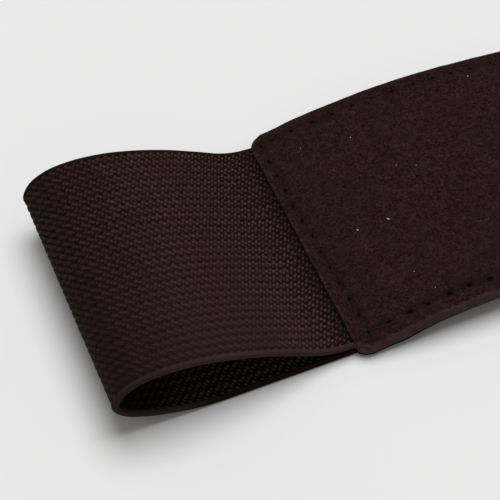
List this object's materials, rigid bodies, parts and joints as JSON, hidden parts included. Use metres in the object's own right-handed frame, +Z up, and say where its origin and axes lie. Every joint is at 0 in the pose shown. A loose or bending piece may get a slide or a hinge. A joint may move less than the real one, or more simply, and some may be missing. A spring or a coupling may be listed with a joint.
{
  "type": "elastic stretch belt",
  "caption": "Wide pull-on stretch belt, a closed loop of woven elastic joined by a long stitched suede front panel, lying flattened with an open fold at each end.",
  "frame": {"origin": "on the surface that the belt lies on, below the middle of its box", "axes": "+X along the flattened belt, +Y across its width, away from the viewer of the picture, +Z up, out of the front panel's face"},
  "size_m": [0.373, 0.064, 0.0202],
  "materials": {
    "elastic": "woven, matt, with small raised ribs",
    "suede": "napped suede, matt, with smooth turned edges",
    "lining": "smooth, matt"
  },
  "bodies": {
    "root": {"elastic_band": "elastic", "front_panel": "suede", "panel_lining": "lining"}
  },
  "joints": []
}
